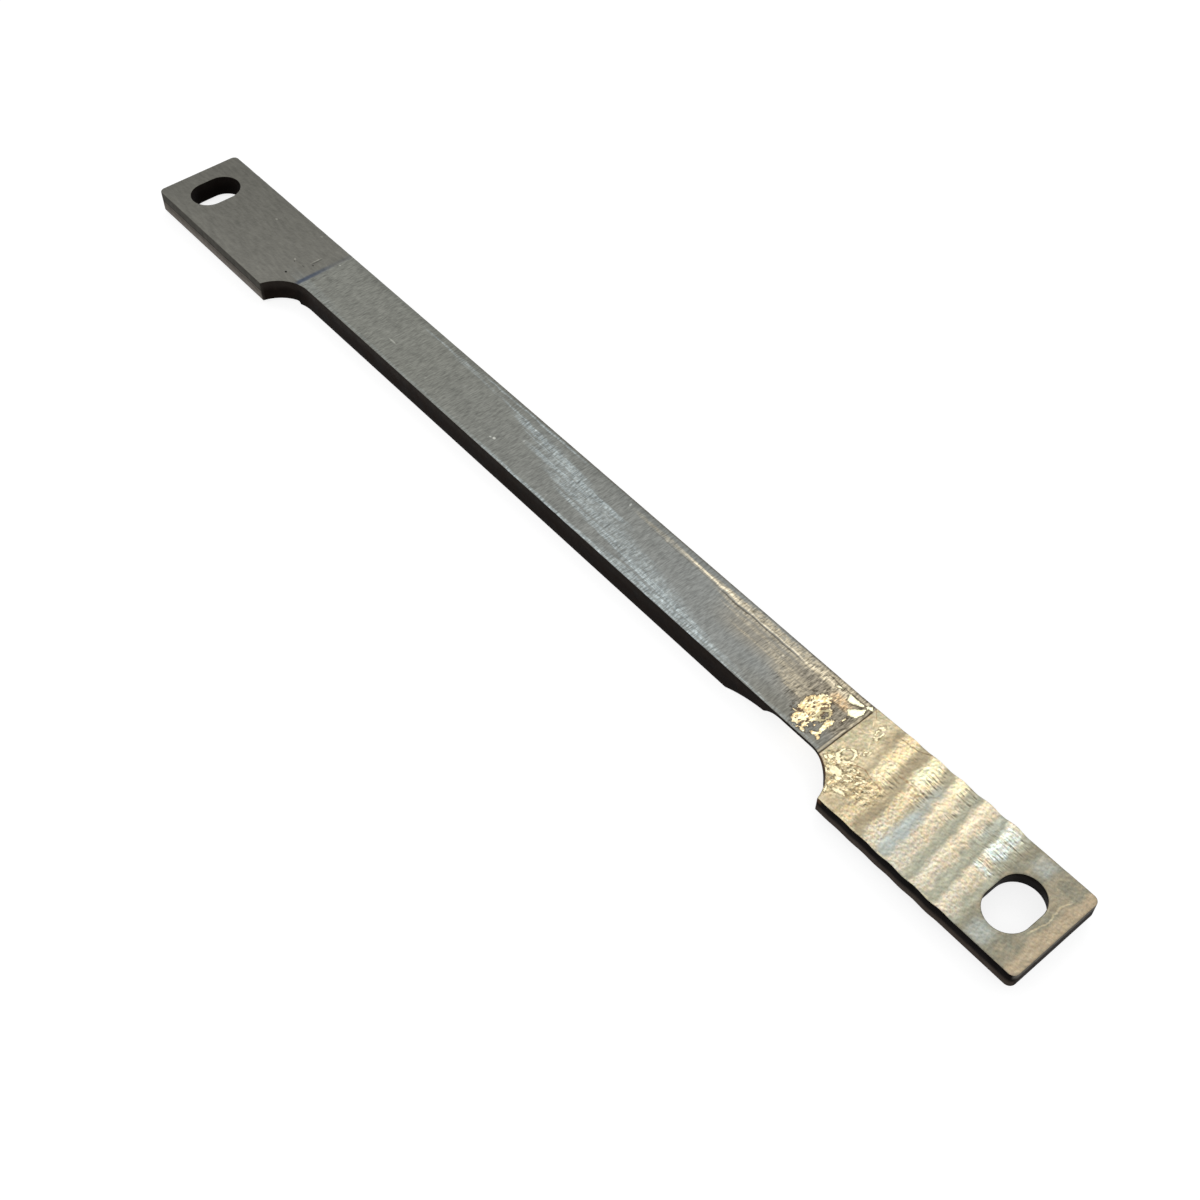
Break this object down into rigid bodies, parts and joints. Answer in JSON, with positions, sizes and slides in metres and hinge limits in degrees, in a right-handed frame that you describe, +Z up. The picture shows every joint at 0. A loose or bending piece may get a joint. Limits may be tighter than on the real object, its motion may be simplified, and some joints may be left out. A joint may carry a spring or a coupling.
{
  "type": "sewing machine fixed knife",
  "caption": "Long flat steel fixed knife with a slotted tab at each end and a relief-ground cutting edge beside one tab.",
  "frame": {"origin": "midway along the knife and across its tabs, on the plane of the bar's underside", "axes": "+X along the knife towards the cutting end, +Y towards the straight edge, +Z up out of the ground top face"},
  "size_m": [0.137, 0.0114, 0.0032],
  "materials": {
    "ground_steel": "ground steel, grey-green, heat tinted straw on the rippled cutting tab, dark scale on the sides"
  },
  "bodies": {
    "root": {"fixed_knife": "ground_steel"}
  },
  "joints": []
}
